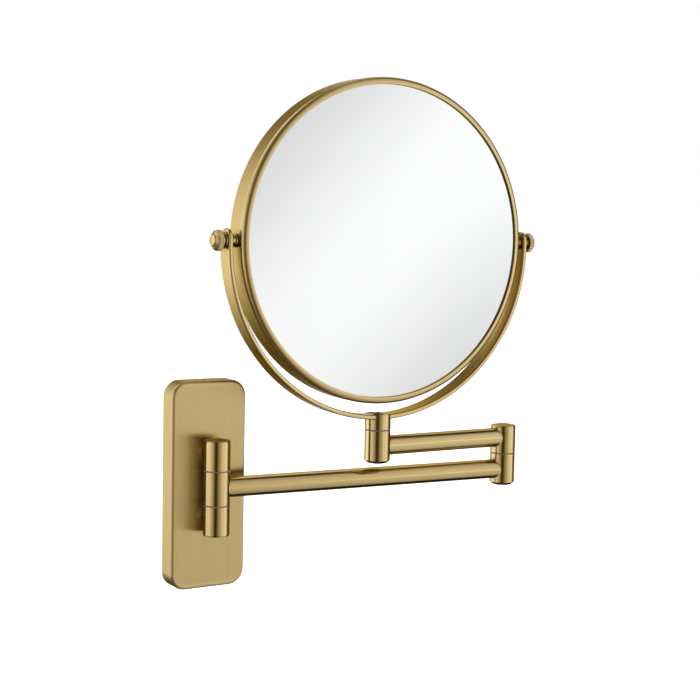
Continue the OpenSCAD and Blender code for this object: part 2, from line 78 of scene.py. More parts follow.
KNUCKLE_R = (span("elbow_ring_washer", X)[1] - span("elbow_ring_washer", X)[0]) / 2 + 0.1
HALF_H = span("base_arm_knuckle", Z)[1]
END_BOTTOM, END_TOP = span("elbow_upper_knuckle", Z)
RISE = sum(span("upper_arm_tube", Z)) / 2
TUBE_R = (span("upper_arm_tube", Z)[1] - span("upper_arm_tube", Z)[0]) / 2
PIN_R = (span("base_hinge_pin", X)[1] - span("base_hinge_pin", X)[0]) / 2
CAP_TIP = span("elbow_cap", Z)[1]
PLATE_W = span("cover_plate", X)[1] - span("cover_plate", X)[0]
PLATE_H = span("cover_plate", Z)[1] - span("cover_plate", Z)[0]
PLATE_T = span("cover_plate", Y)[1] - span("cover_plate", Y)[0]
POST_Z, POST_TOP = span("swivel_post", Z)

PLATE_CORNER_R = 10
PLATE_EDGE_R = 2
PLATE_WALL = 2
SET_SCREW_Y = -6.8
SET_SCREW_R = 2.4
FIXED_POST_R = 5
FIXED_POST_Z = (END_BOTTOM + END_TOP) / 2
TUBE_WALL = 1.1
BUSH_R = PIN_R + 1.3
COUNTERBORE_R = 5.8
COUNTERBORE_H = 5.2
FOOT_CHAMFER = 1.6
NUT_R = 5.5
NUT_H = 4.7
NUT_TOP = -HALF_H + COUNTERBORE_H - 0.95
THREAD_R = 2.5

YOKE_R = 109
YOKE_DROP = 2.9
EYE_RISE = 1.1
STRIP_W = 12.2
STRIP_T = 3
STRIP_EDGE_R = 1.1
ARC_Z = TILT.z - YOKE_DROP
STRIP_FLOOR_Z = ARC_Z - YOKE_R
STUD_R = 2.5
THUMB_IN = YOKE_R + 0.9

FRAME_R = 101.6
FRAME_T = 17.7
FRAME_EDGE_R = 3.4
FRAME_BACK_EDGE_R = 1
BAND_WALL = 1.4
GLASS_R = 97.2
LIP_T = 1.4
GLASS_T = 3
MAGNIFIER_T = 2.5
MAGNIFIER_CURVE_R = 750

# ---- Local frames -------------------------------------------------------------------------------


def frame_of(origin, z_axis, x_axis):
    """Matrix of a local frame from its origin, its +Z and a direction near its +X."""
    z = Vector(z_axis).normalized()
    y = z.cross(Vector(x_axis)).normalized()
    x = y.cross(z)
    basis = Matrix((x, y, z)).transposed().to_4x4()
    return Matrix.Translation(Vector(origin) * MM) @ basis


UP = Vector((0, 0, 1))
LOWER_DIRECTION = Vector((ELBOW.x - COLUMN.x, ELBOW.y - COLUMN.y, 0))
UPPER_DIRECTION = Vector((SWIVEL.x - ELBOW.x, SWIVEL.y - ELBOW.y, 0))
LOWER_LEN = LOWER_DIRECTION.length
UPPER_LEN = UPPER_DIRECTION.length
AT_COLUMN = frame_of(COLUMN, UP, LOWER_DIRECTION)
AT_ELBOW = frame_of(ELBOW, UP, UPPER_DIRECTION)
AT_SWIVEL = frame_of(SWIVEL, UP, TILT_AXIS)
AT_SWIVEL_KNUCKLE = frame_of(SWIVEL + UP * RISE, UP, UPPER_DIRECTION)
ALONG_UPPER = frame_of(ELBOW + UP * RISE, UP, UPPER_DIRECTION)
AT_TILT = frame_of(TILT, TILT_AXIS.cross(UP), TILT_AXIS)      # +Z out of the plain glass, +Y up
ALONG_TILT = frame_of(TILT, TILT_AXIS, UP)                    # +Z to the right along the tilt axis
AT_WALL = Matrix.Identity(4)

# ---- Outlines -----------------------------------------------------------------------------------


def rounded(corners, closed=True, steps=5):
    """Outline of corners (x, y) or (x, y, radius), with the corners that have a radius as arcs."""
    points = []
    count = len(corners)
    for i, corner in enumerate(corners):
        at = Vector(corner[:2])
        if len(corner) == 2 or (not closed and i in (0, count - 1)):
            points.append(tuple(at))
            continue
        before = (Vector(corners[i - 1][:2]) - at).normalized()
        after = (Vector(corners[(i + 1) % count][:2]) - at).normalized()
        half = before.angle(after) / 2
        centre = at + (before + after).normalized() * corner[2] / sin(half)
        start = at + before * corner[2] / tan(half) - centre
        end = at + after * corner[2] / tan(half) - centre
        first = atan2(start.y, start.x)
        turn = (atan2(end.y, end.x) - first + pi) % (2 * pi) - pi
        for k in range(steps + 1):
            angle = first + turn * k / steps
            points.append((centre.x + corner[2] * cos(angle), centre.y + corner[2] * sin(angle)))
    return points


def lengths(points):
    """Distance along an outline at each of its points."""
    total = [0.0]
    for a, b in zip(points, points[1:]):
        total.append(total[-1] + (Vector(b) - Vector(a)).length)
    return total


# ---- Mesh building ------------------------------------------------------------------------------


class Builder:
    """A bmesh in millimetres with the grain layer; faces are added with a UV for each corner."""

    def __init__(self):
        self.bm = bmesh.new()
        self.uv = self.bm.loops.layers.uv.new(GRAIN)

    def vert(self, x, y, z):
        return self.bm.verts.new((x * MM, y * MM, z * MM))

    def face(self, corners, uvs):
        kept = []
        for corner, uv in zip(corners, uvs):
            if not kept or corner is not kept[-1][0]:
                kept.append((corner, uv))
        if kept[0][0] is kept[-1][0]:
            kept.pop()
        if len(kept) < 3:
            return
        made = self.bm.faces.new([corner for corner, _ in kept])
        for loop, (_, uv) in zip(made.loops, kept):
            loop[self.uv].uv = uv

    def grid(self, rows, uvs, wrap_rows, wrap_cols):
        """Quads over rows of vertices. uvs(row, column) gives the layer's value, past the end too."""
        n_rows, n_cols = len(rows), len(rows[0])
        for i in range(n_rows if wrap_rows else n_rows - 1):
            for j in range(n_cols if wrap_cols else n_cols - 1):
                a, b = rows[i], rows[(i + 1) % n_rows]
                k = (j + 1) % n_cols
                self.face(
                    (a[j], a[k], b[k], b[j]),
                    (uvs(i, j), uvs(i, j + 1), uvs(i + 1, j + 1), uvs(i + 1, j)),
                )

    def revolve(self, outline, segments=96, closed=True, relief=None, flip=1):
        """Outline (r, z) turned about local Z. relief(angle, r, z) gives another radius."""
        along = lengths(outline + outline[:1])
        around = 2 * pi * max(r for r, _ in outline) / segments
        poles = [self.vert(0, 0, z * flip) if r < 1e-6 else None for r, z in outline]
        rows = []
        for i in range(segments):
            angle = 2 * pi * i / segments
            row = []
            for (r, z), pole in zip(outline, poles):
                if pole is None:
                    radius = relief(angle, r, z) if relief else r
                    row.append(self.vert(radius * cos(angle), radius * sin(angle), z * flip))
                else:
                    row.append(pole)
            rows.append(row)
        self.grid(rows, lambda i, j: (i * around, along[j]), True, closed)

    def loops(self, loops, fill, uvs):
        """Closed loops of points joined one to the next; fill(loop) closes the first and the last."""
        rows = [[self.vert(*p) for p in loop] for loop in loops]
        self.grid(rows, uvs, False, True)
        for row in (rows[0], rows[-1]):
            fill(row)

    def mesh(self, name):
        bmesh.ops.recalc_face_normals(self.bm, faces=self.bm.faces[:])
        mesh = bpy.data.meshes.new(name)
        self.bm.to_mesh(mesh)
        self.bm.free()
        return mesh


def loose_object(mesh, at):
    made = bpy.data.objects.new(mesh.name, mesh)
    bpy.context.scene.collection.objects.link(made)
    made.matrix_world = at
    return made


def settle(made):
    """Applies the object's modifiers to its mesh."""
    bpy.context.view_layer.update()
    seen = made.evaluated_get(bpy.context.evaluated_depsgraph_get())
    mesh = bpy.data.meshes.new_from_object(seen)
    mesh.name = made.data.name
    made.modifiers.clear()
    made.data = mesh


def combine(made, tools, how="DIFFERENCE"):
    """Cuts the tools out of the object, or joins them to it, and removes them."""
    for tool in tools:
        change = made.modifiers.new("combine", "BOOLEAN")
        change.object = tool
        change.operation = how
        change.solver = "EXACT"
    settle(made)
    for tool in tools:
        bpy.data.objects.remove(tool)


def soften(made, width, limit=40, segments=3):
    """Rounds the edges that are sharper than the limit."""
    change = made.modifiers.new("soften", "BEVEL")
    change.width = width * MM
    change.segments = segments
    change.limit_method = "ANGLE"
    change.angle_limit = radians(limit)
    settle(made)


def rod(radius, low, high, at, segments=64, top_r=None):
    """A plain tool for cutting: a cylinder or cone along local Z."""
    work = Builder()
    work.revolve([(0, low), (radius, low), (radius if top_r is None else top_r, high), (0, high)],
                 segments, closed=False)
    return loose_object(work.mesh("tool"), at)


def block(low, high, at):
    """A plain tool for cutting: a box between two corners."""
    work = Builder()
    corners = [(low[X], low[Y]), (high[X], low[Y]), (high[X], high[Y]), (low[X], high[Y])]
    work.loops([[(x, y, z) for x, y in corners] for z in (low[Z], high[Z])],
               lambda row: work.face(row, [(0, 0)] * 4), lambda i, j: (i, j))
    return loose_object(work.mesh("tool"), at)


def finish_piece(made, body, material, slot, *nodes):
    """Smooth shading, material, body and the CAD nodes that the piece stands for."""
    made.data.transform(made.matrix_world)
    made.matrix_world = Matrix.Identity(4)
    made.data.materials.clear()
    made.data.materials.append(material)
    made.data.polygons.foreach_set("use_smooth", [True] * len(made.data.polygons))
    shade = made.modifiers.new("normals", "WEIGHTED_NORMAL")
    shade.weight = 50
    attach(made, body)
    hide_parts(*nodes)
    return made


def turned(name, outline, at, segments=96, closed=True, relief=None, flips=(1,)):
    """A turned piece, once for each flip along its axis."""
    work = Builder()
    for flip in flips:
        work.revolve(outline, segments, closed, relief, flip)
    return loose_object(work.mesh(name), at)


# ---- Materials ----------------------------------------------------------------------------------

BRASS = (0.545, 0.412, 0.188)
BRASS_SHADE = (0.48, 0.35, 0.145)
BRASS_WORN = (0.60, 0.48, 0.28)
BRASS_GRAZING = (0.53, 0.42, 0.22)
# Painted shade: the dark brown that the brass is darkened to in corners and gaps between parts, where shade
# falls
BRASS_PAINTED_SHADE = (0.24, 0.165, 0.045)
PAINTED_SHADE_REACH = 0.008                 # how far the painted shade reaches out of a corner, in metres
BUMP_DEPTH = 0.00002                 # in metres


class Nodes:
    """A new node material with its Principled shader."""

    def __init__(self, name):
        self.material = bpy.data.materials.new(name)
        self.material.use_nodes = True
        self.tree = self.material.node_tree
        self.shader = self.tree.nodes["Principled BSDF"]

    def node(self, kind, **settings):
        made = self.tree.nodes.new(kind)
        for key, value in settings.items():
            setattr(made, key, value)
        return made

    def link(self, source, target):
        self.tree.links.new(source, target)

    def fixed(self, **values):
        for name, value in values.items():
            self.shader.inputs[name.replace("_", " ").title()].default_value = value

    def noise(self, coordinates, scale, detail=3.0, roughness=0.55):
        """Noise over coordinates stretched by scale (x, y, z)."""
        stretch = self.node("ShaderNodeMapping")
        stretch.inputs["Scale"].default_value = scale
        made = self.node("ShaderNodeTexNoise")
        made.inputs["Scale"].default_value = 1.0
        made.inputs["Detail"].default_value = detail
        made.inputs["Roughness"].default_value = roughness
        self.link(coordinates, stretch.inputs["Vector"])
        self.link(stretch.outputs["Vector"], made.inputs["Vector"])
        return made.outputs["Fac"]

    def span(self, source, low, high, to_low, to_high):
        made = self.node("ShaderNodeMapRange")
        for name, value in (("From Min", low), ("From Max", high), ("To Min", to_low), ("To Max", to_high)):
            made.inputs[name].default_value = value
        self.link(source, made.inputs["Value"])
        return made.outputs["Result"]

    def blend(self, factor, first, second):
        made = self.node("ShaderNodeMix", data_type="RGBA")
        for socket, value in ((made.inputs[6], first), (made.inputs[7], second)):
            if isinstance(value, tuple):
                socket.default_value = (*value, 1)
            else:
                self.link(value, socket)
        self.link(factor, made.inputs[0])
        return made.outputs[2]

    def bump(self, source, strength, distance):
        made = self.node("ShaderNodeBump")
        made.inputs["Strength"].default_value = strength
        made.inputs["Distance"].default_value = distance
        self.link(source, made.inputs["Height"])
        self.link(made.outputs["Normal"], self.shader.inputs["Normal"])

    def painted_shade_mask(self, distance):
        """Mask for painted shade: 0 deep in a corner or gap, 1 in the open."""
        made = self.node("ShaderNodeAmbientOcclusion", samples=8)
        made.inputs["Distance"].default_value = distance
        return made.outputs["AO"]

    def edges(self, low=0.51, high=0.60):
        """1 on outer edges, 0 on flat ground."""
        geometry = self.node("ShaderNodeNewGeometry")
        return self.span(geometry.outputs["Pointiness"], low, high, 0, 1)


def brushed_brass(name, roughness, spread, groove=9.0, wear=0.5, streak=0.03, painted_shade_amount=0.65):
    """Brass brushed along the grain layer's U: long fine grooves, uneven lacquer, brighter edges, and painted
    shade that darkens the brass in corners and gaps.
    """
    work = Nodes(name)
    grain = work.node("ShaderNodeUVMap", uv_map=GRAIN).outputs["UV"]
    space = work.node("ShaderNodeTexCoord").outputs["Object"]
    grooves = work.noise(grain, (0.06, groove, 1), detail=4, roughness=0.7)
    streaks = work.noise(grain, (0.012, 0.6, 1), detail=4, roughness=0.6)
    cloud = work.noise(space, (22, 22, 22), detail=2)
    tone = work.blend(work.span(cloud, 0.3, 0.7, 0, 1), BRASS, tuple(0.96 * c for c in BRASS))
    streaked = tuple((1 - 2 * streak) * c for c in BRASS)
    tone = work.blend(work.span(streaks, 0.3, 0.7, 0, 1), streaked, tone)
    tone = work.blend(work.span(grooves, 0.35, 0.75, 0.3, 0), tone, BRASS_SHADE)
    tone = work.blend(work.span(work.edges(), 0, 1, 0, wear), tone, BRASS_WORN)
    # Painted shade: darkens the brass towards a dark brown in corners and gaps between parts, where shade
    # falls
    tone = work.blend(work.span(work.painted_shade_mask(PAINTED_SHADE_REACH), 0.25, 0.8, painted_shade_amount, 0), tone,
                      BRASS_PAINTED_SHADE)
    work.link(tone, work.shader.inputs["Base Color"])
    work.link(work.span(grooves, 0.25, 0.75, roughness * 0.85, roughness * 1.2),
              work.shader.inputs["Roughness"])
    work.bump(grooves, 0.10, BUMP_DEPTH)
    work.fixed(metallic=1.0, anisotropic=spread)
    work.shader.inputs["Specular Tint"].default_value = (*BRASS_GRAZING, 1)
    work.shader.inputs["Anisotropic Rotation"].default_value = 0.25
    tangent = work.node("ShaderNodeTangent", direction_type="UV_MAP", uv_map=GRAIN)
    work.link(tangent.outputs["Tangent"], work.shader.inputs["Tangent"])
    return work.material


def machined(name, light, dark, roughness, metallic=1.0, scale=900):
    """Turned or plated small parts: fine rings along local Z, random stains and lighter edges."""
    work = Nodes(name)
    space = work.node("ShaderNodeTexCoord").outputs["Object"]
    rings = work.noise(space, (60, 60, scale), detail=3)
    stains = work.noise(space, (140, 140, 140), detail=4)
    tone = work.blend(work.span(rings, 0.35, 0.65, 0, 1), dark, light)
    tone = work.blend(work.span(stains, 0.55, 0.75, 0, 0.4), tone, dark)
    work.link(work.blend(work.edges(), tone, light), work.shader.inputs["Base Color"])
    work.link(work.span(stains, 0.3, 0.7, roughness * 0.8, roughness * 1.3),
              work.shader.inputs["Roughness"])
    work.bump(rings, 0.12, BUMP_DEPTH)
    work.fixed(metallic=metallic)
    return work.material


def silvered_glass(name, tint):
    """Mirror glass: silver behind clear glass, with the faintest wipe marks."""
    work = Nodes(name)
    space = work.node("ShaderNodeTexCoord").outputs["Object"]
    wipes = work.noise(space, (9, 38, 9), detail=5)
    film = work.noise(space, (5, 5, 5), detail=2)
    tone = work.blend(work.span(film, 0.3, 0.7, 0, 1), tint, tuple(0.985 * c for c in tint))
    work.link(tone, work.shader.inputs["Base Color"])
    work.link(work.span(wipes, 0.35, 0.8, 0.35, 0.6), work.shader.inputs["Coat Weight"])
    work.bump(film, 0.01, BUMP_DEPTH)
    work.fixed(metallic=1.0, roughness=0.0)
    work.shader.inputs["Coat Roughness"].default_value = 0.0
    return work.material


# The last number of each brass sets how strongly painted shade darkens it in corners and gaps
ROUND_BRASS = brushed_brass("round_brass", 0.17, 0.55, painted_shade_amount=0.55)
TUBE_BRASS = brushed_brass("tube_brass", 0.16, 0.5)
PLATE_BRASS = brushed_brass("plate_brass", 0.30, 0.9, groove=5.0, streak=0.05, painted_shade_amount=0.3)
STRIP_BRASS = brushed_brass("strip_brass", 0.18, 0.5)
BAND_BRASS = brushed_brass("band_brass", 0.25, 0.5, painted_shade_amount=0.4)
NUT_BRASS = brushed_brass("nut_brass", 0.17, 0.2, painted_shade_amount=0.5)
STEEL = machined("plated_steel", (0.40, 0.39, 0.38), (0.23, 0.22, 0.21), 0.32)
DARK_STEEL = machined("blackened_steel", (0.19, 0.175, 0.16), (0.06, 0.055, 0.05), 0.38)
NYLON = machined("grey_nylon", (0.25, 0.24, 0.23), (0.17, 0.165, 0.16), 0.5, metallic=0.0)
FOAM = machined("packing_foam", (0.075, 0.075, 0.08), (0.03, 0.03, 0.034), 0.9, metallic=0.0,
                scale=300)
GLASS = silvered_glass("silvered_glass", (0.595, 0.6, 0.6))

# ---- Wall plate ---------------------------------------------------------------------------------


def plate_loop(inset, y):
    """Rounded rectangle in the wall plane, inset from the plate's edge, at depth y."""
    w, h, r = PLATE_W / 2 - inset, PLATE_H / 2 - inset, PLATE_CORNER_R - inset
    outline = rounded([(-w, -h, r), (w, -h, r), (w, h, r), (-w, h, r)], steps=16)
    return [(x, y, z) for x, z in outline]


def cover_plate():
    front = -PLATE_T
    section = rounded([
        (PLATE_WALL, front + PLATE_WALL, 0.8), (PLATE_WALL, 0), (0.25, 0), (0, -0.25),
        (0, front, PLATE_EDGE_R), (PLATE_EDGE_R + 1.5, front),
    ], closed=False, steps=8)
    section = [(PLATE_WALL + 2.5, front + PLATE_WALL)] + section
    loops = [plate_loop(inset, y) for inset, y in section]
    work = Builder()
    around = lengths([(x, z) for x, _, z in loops[0]] + [(loops[0][0][0], loops[0][0][2])])
    depth = lengths(section)

    def fill(row):
        work.face(row, [(v.co.z / MM, v.co.x / MM) for v in row])

    work.loops(loops, fill, lambda i, j: (around[j], depth[i] * 1.7))
    made = loose_object(work.mesh("cover_plate_shell"), AT_WALL)
    tools = []
    for side in (1, -1):
        at = frame_of((0, SET_SCREW_Y, side * PLATE_H / 2), UP * side, (1, 0, 0))
        tools.append(rod(SET_SCREW_R, -4, 1, at))
        tools.append(rod(SET_SCREW_R, -0.6, 0.3, at, top_r=SET_SCREW_R + 0.9))
    combine(made, tools)
    finish_piece(made, "wall_mount", PLATE_BRASS, "brushed_brass", "cover_plate")


def cover_screws():
    length, socket_r, socket_h = 6.5, 1.4, 2.5
    heads = []
    for side, end in ((1, PLATE_H / 2 - 0.5), (-1, PLATE_H / 2 + 0.4)):
        at = frame_of((0, SET_SCREW_Y, side * end), UP * side, (1, 0, 0))
        head = turned("cover_grub_screws", rounded([
            (0, -length), (SET_SCREW_R, -length, 0.3), (SET_SCREW_R, 0, 0.35), (socket_r + 0.4, 0, 0.1),
            (socket_r, -0.3), (0, -0.3),
        ], closed=False), at, 48, closed=False)
        combine(head, [rod(socket_r, -socket_h, 1, at, segments=6)])
        heads.append(head)
    combine(heads[0], heads[1:], "UNION")
    finish_piece(heads[0], "wall_mount", DARK_STEEL, "steel", "cover_screws")


# ---- Hinges -------------------------------------------------------------------------------------

EDGE = 0.35


def knuckle_outline(bottom, top, bore):
    return rounded([
        (bore, bottom, 0.2), (KNUCKLE_R, bottom, EDGE), (KNUCKLE_R, top, EDGE), (bore, top, 0.2),
    ])


def fixed_knuckle(name, side, node):
    made = turned(name, knuckle_outline(END_BOTTOM, END_TOP, PIN_R), AT_COLUMN, flips=(side,))
    reach = -COLUMN.y - PLATE_T
    at = frame_of((COLUMN.x, COLUMN.y, side * FIXED_POST_Z), (0, 1, 0), (1, 0, 0))
    post = turned("post", rounded([
        (0, PIN_R + 1.5), (FIXED_POST_R, PIN_R + 1.5), (FIXED_POST_R, reach, 0.3), (0, reach),
    ], closed=False), at, 64, closed=False)
    combine(made, [post], "UNION")
    finish_piece(made, "wall_mount", ROUND_BRASS, "brushed_brass", node)


def cap_outline(base, tip):
    """Shallow conical cap between the knuckle's end and its tip."""
    rim = KNUCKLE_R - 0.15
    return rounded([
        (0, base), (rim, base, 0.08), (rim, base + 0.45, 0.25), (2.2, tip - 0.12, 3), (0, tip),
    ], closed=False)


def ring_outline(bottom):
    gap = END_BOTTOM - HALF_H
    low, high = bottom + 0.05, bottom + gap - 0.05
    return rounded([
        (PIN_R + 0.05, low), (KNUCKLE_R - 0.1, low, 0.1), (KNUCKLE_R - 0.1, high, 0.1), (PIN_R + 0.05, high),
    ])


def nutted_knuckle(name, at, body, node):
    """Knuckle with a chamfered foot; its axis height is local z = 0."""
    foot_r = KNUCKLE_R - FOOT_CHAMFER
    made = turned(name, rounded([
        (COUNTERBORE_R, -HALF_H, 0.15), (foot_r, -HALF_H, 0.2), (KNUCKLE_R, -HALF_H + FOOT_CHAMFER, 0.3),
        (KNUCKLE_R, HALF_H, EDGE), (BUSH_R, HALF_H, 0.1), (BUSH_R, -HALF_H + COUNTERBORE_H),
        (COUNTERBORE_R, -HALF_H + COUNTERBORE_H),
    ]), at)
    finish_piece(made, body, ROUND_BRASS, "brushed_brass", node)


def hinge_nut(name, at, angle, body, node):
    bottom = NUT_TOP - NUT_H
    made = turned(name, rounded([
        (0, bottom), (NUT_R, bottom, 0.7), (NUT_R, NUT_TOP, 0.2), (THREAD_R, NUT_TOP),
        (THREAD_R, bottom + 1.4), (0, bottom + 1.4),
    ], closed=False), at, closed=False)
    slot = block((-NUT_R - 1, -0.65, bottom - 1), (NUT_R + 1, 0.65, bottom + 1.4),
                 at @ Matrix.Rotation(radians(angle), 4, "Z"))
    combine(made, [slot])
    soften(made, 0.12, segments=2)
    finish_piece(made, body, NUT_BRASS, "brushed_brass", node)


def arm_tube(name, length, at, body, node):
    """Tube along local +X with a coped, filleted seam at both knuckles."""
    fillet, segments = 0.55, 96
    inner_r = TUBE_R - TUBE_WALL
    seam = [(fillet * (1 - cos(k * pi / 12)), fillet * (1 - sin(k * pi / 12))) for k in range(7)]
    body_steps = 40
    work = Builder()
    rows = []
    for i in range(segments):
        angle = 2 * pi * i / segments
        row = []
        for outer in (True, False):
            radius = TUBE_R if outer else inner_r
            start = sqrt(KNUCKLE_R ** 2 - (radius * sin(angle)) ** 2) - 0.15
            stations = []
            for k, (away, swell) in enumerate(seam):
                stations.append((start + away, radius + (swell if outer else 0)))
            first, last = start + fillet, length - start - fillet
            for k in range(1, body_steps):
                stations.append((first + (last - first) * k / body_steps, radius))
            for away, swell in reversed(seam):
                stations.append((length - start - away, radius + (swell if outer else 0)))
            if not outer:
                stations.reverse()
            row += [work.vert(x, r * sin(angle), r * cos(angle)) for x, r in stations]
        rows.append(row)
    around = 2 * pi * TUBE_R / segments
    xs = [v.co.x / MM for v in rows[0]]
    work.grid(rows, lambda i, j: (i * around, xs[j % len(xs)]), True, True)
    made = loose_object(work.mesh(name), at)
    finish_piece(made, body, TUBE_BRASS, "brushed_brass", node)


def hinges():
    for side, end in ((1, "upper"), (-1, "lower")):
        fixed_knuckle(f"{end}_fixed_barrel", side, f"{end}_fixed_knuckle")
    for side, end in ((1, "top"), (-1, "bottom")):
        cap = turned(f"{end}_column_cap", cap_outline(END_TOP, CAP_TIP), AT_COLUMN, closed=False,
                     flips=(side,))
        finish_piece(cap, "wall_mount", ROUND_BRASS, "brushed_brass", f"base_cap_{end}")
    rings = turned("column_rings", ring_outline(HALF_H), AT_COLUMN, flips=(1, -1))
    finish_piece(rings, "wall_mount", NYLON, "grey_nylon", "base_ring_washers")

    arm = turned("arm_barrel", knuckle_outline(-HALF_H, HALF_H, BUSH_R), AT_COLUMN)
    finish_piece(arm, "lower_arm", ROUND_BRASS, "brushed_brass", "base_arm_knuckle")
    arm_tube("lower_tube", LOWER_LEN, AT_COLUMN, "lower_arm", "lower_arm_tube")
    nutted_knuckle("elbow_lower_barrel", frame_of(ELBOW, UP, -LOWER_DIRECTION), "lower_arm",
                   "elbow_lower_knuckle")
    ring = turned("elbow_ring", ring_outline(HALF_H), AT_ELBOW)
    finish_piece(ring, "lower_arm", NYLON, "grey_nylon", "elbow_ring_washer")

    upper = turned("elbow_upper_barrel", knuckle_outline(END_BOTTOM, END_TOP, PIN_R), AT_ELBOW)
    finish_piece(upper, "upper_arm", ROUND_BRASS, "brushed_brass", "elbow_upper_knuckle")
    cap = turned("elbow_end_cap", cap_outline(END_TOP, CAP_TIP), AT_ELBOW, closed=False)
    finish_piece(cap, "upper_arm", ROUND_BRASS, "brushed_brass", "elbow_cap")
    hinge_nut("elbow_slotted_nut", frame_of(ELBOW, UP, (1, 0, 0)), 60, "upper_arm", "elbow_nut")
    arm_tube("upper_tube", UPPER_LEN, ALONG_UPPER, "upper_arm", "upper_arm_tube")
    nutted_knuckle("swivel_barrel", AT_SWIVEL_KNUCKLE, "upper_arm", "swivel_knuckle")
    ring = turned("swivel_ring", ring_outline(RISE + HALF_H), AT_SWIVEL)
    finish_piece(ring, "upper_arm", NYLON, "grey_nylon", "swivel_ring_washer")
    hinge_nut("swivel_slotted_nut", frame_of(SWIVEL + UP * RISE, UP, TILT_AXIS), 25, "yoke", "swivel_nut")


# ---- Yoke ---------------------------------------------------------------------------------------


def swivel_post():
    made = turned("swivel_column", rounded([
        (0, POST_Z + 3.6), (PIN_R, POST_Z + 3.6), (PIN_R, POST_Z, 0.15), (KNUCKLE_R, POST_Z, EDGE),
        (KNUCKLE_R, POST_TOP, EDGE), (0, POST_TOP),
    ], closed=False), AT_SWIVEL, closed=False)
    half_slot = STRIP_W / 2 + 0.05
    arch = frame_of((SWIVEL.x, SWIVEL.y, ARC_Z), TILT_AXIS.cross(UP), TILT_AXIS)
    combine(made, [rod(YOKE_R, -half_slot, half_slot, arch, segments=720)])
    soften(made, 0.15, limit=50, segments=2)
    finish_piece(made, "yoke", ROUND_BRASS, "brushed_brass", "swivel_post")


def strip_place(s, w, h):
    """Point of the bent strip: s along it from the middle, w across it, h out of its mid-surface."""
    middle_r = YOKE_R - STRIP_T / 2
    half_arc = middle_r * pi / 2
    if abs(s) <= half_arc:
        angle = s / middle_r
        return ((middle_r + h) * sin(angle), -YOKE_DROP - (middle_r + h) * cos(angle), w)
    side = 1 if s > 0 else -1
    return (side * (middle_r + h), -YOKE_DROP + abs(s) - half_arc, w)


def yoke_strip():
    half_len = (YOKE_R - STRIP_T / 2) * pi / 2 + YOKE_DROP + EYE_RISE
    section = rounded([
        (1.4, -STRIP_T / 2), (0, -STRIP_T / 2, STRIP_EDGE_R), (0, STRIP_T / 2, STRIP_EDGE_R),
        (1.4, STRIP_T / 2),
    ], closed=False)
    straight_steps, end_steps = 200, 14
    half = []
    for k in range(end_steps + 1):
        angle = pi / 2 * k / end_steps
        half.append((-half_len, -cos(angle), -sin(angle)))
    for k in range(1, straight_steps):
        half.append((-half_len + 2 * half_len * k / straight_steps, 0, -1))
    for k in range(end_steps + 1):
        angle = pi / 2 * k / end_steps
        half.append((half_len, sin(angle), -cos(angle)))
    outline = half + [(s, ds, -dw) for s, ds, dw in reversed(half[1:-1])]

    def flat(inset):
        r = STRIP_W / 2 - inset
        return [(s + ds * r, dw * r) for s, ds, dw in outline]

    work = Builder()
    flats = [flat(inset) for inset, _ in section]
    loops = [[strip_place(s, w, h) for s, w in ring] for ring, (_, h) in zip(flats, section)]
    side = lengths(section)
    count = len(outline)

    def uv(i, j):
        s, w = flats[i][j % count]
        return (s, w + side[i])

    def fill(row):
        ring = flats[0]
        last = len(half) - 1
        for k in range(last):
            a, b = k, k + 1
            c, d = (count - b) % count, (count - a) % count
            if b == last:
                c = last
            corners = (a, b, c, d)
            work.face([row[n] for n in corners], [ring[n] for n in corners])

    work.loops(loops, fill, uv)
    made = loose_object(work.mesh("yoke_strip"), AT_TILT)
    holes = [rod(STUD_R + 0.05, -YOKE_R - 2, YOKE_R + 2, ALONG_TILT)]
    at = frame_of((SWIVEL.x, SWIVEL.y, STRIP_FLOOR_Z), UP, TILT_AXIS)
    holes.append(rod(2, -1, STRIP_T + 1, at))
    combine(made, holes)
    finish_piece(made, "yoke", STRIP_BRASS, "brushed_brass", "yoke")


def yoke_screw():
    head_r, head_h = 3.4, 0.8
    base = STRIP_FLOOR_Z + STRIP_T + 0.05
    made = turned("strip_screw", rounded([
        (0, POST_Z + 4), (2, POST_Z + 4), (2, base), (head_r, base, 0.15),
        (head_r - 0.3, base + head_h, 0.4), (0, base + head_h),
    ], closed=False), AT_SWIVEL, 64, closed=False)
    combine(made, [rod(1.3, base + 0.3, base + 3, AT_SWIVEL, segments=6)])
    finish_piece(made, "yoke", DARK_STEEL, "steel", "yoke_screw")


# ---- Mirror -------------------------------------------------------------------------------------


def mirror_frame():
    half = FRAME_T / 2
    inner = FRAME_R - BAND_WALL
    made = turned("mirror_band", rounded([
        (inner, -half, 0.15), (FRAME_R, -half, FRAME_BACK_EDGE_R), (FRAME_R, half, FRAME_EDGE_R),
        (GLASS_R, half, 0.25), (GLASS_R, half - LIP_T, 0.1), (inner, half - LIP_T),
    ], steps=12), AT_TILT, 360)
    finish_piece(made, "mirror", BAND_BRASS, "brushed_brass", "mirror_frame")


def rear_bezel():
    half = FRAME_T / 2
    inner = FRAME_R - BAND_WALL
    made = turned("back_bezel", rounded([
        (GLASS_R, -half, 0.3), (inner - 0.05, -half, 0.1), (inner - 0.05, -half + LIP_T + 2.2, 0.1),
        (inner - 1, -half + LIP_T + 2.2, 0.1), (inner - 1, -half + LIP_T), (GLASS_R, -half + LIP_T, 0.1),
    ]), AT_TILT, 360)
    finish_piece(made, "mirror", BAND_BRASS, "brushed_brass", "rear_bezel")


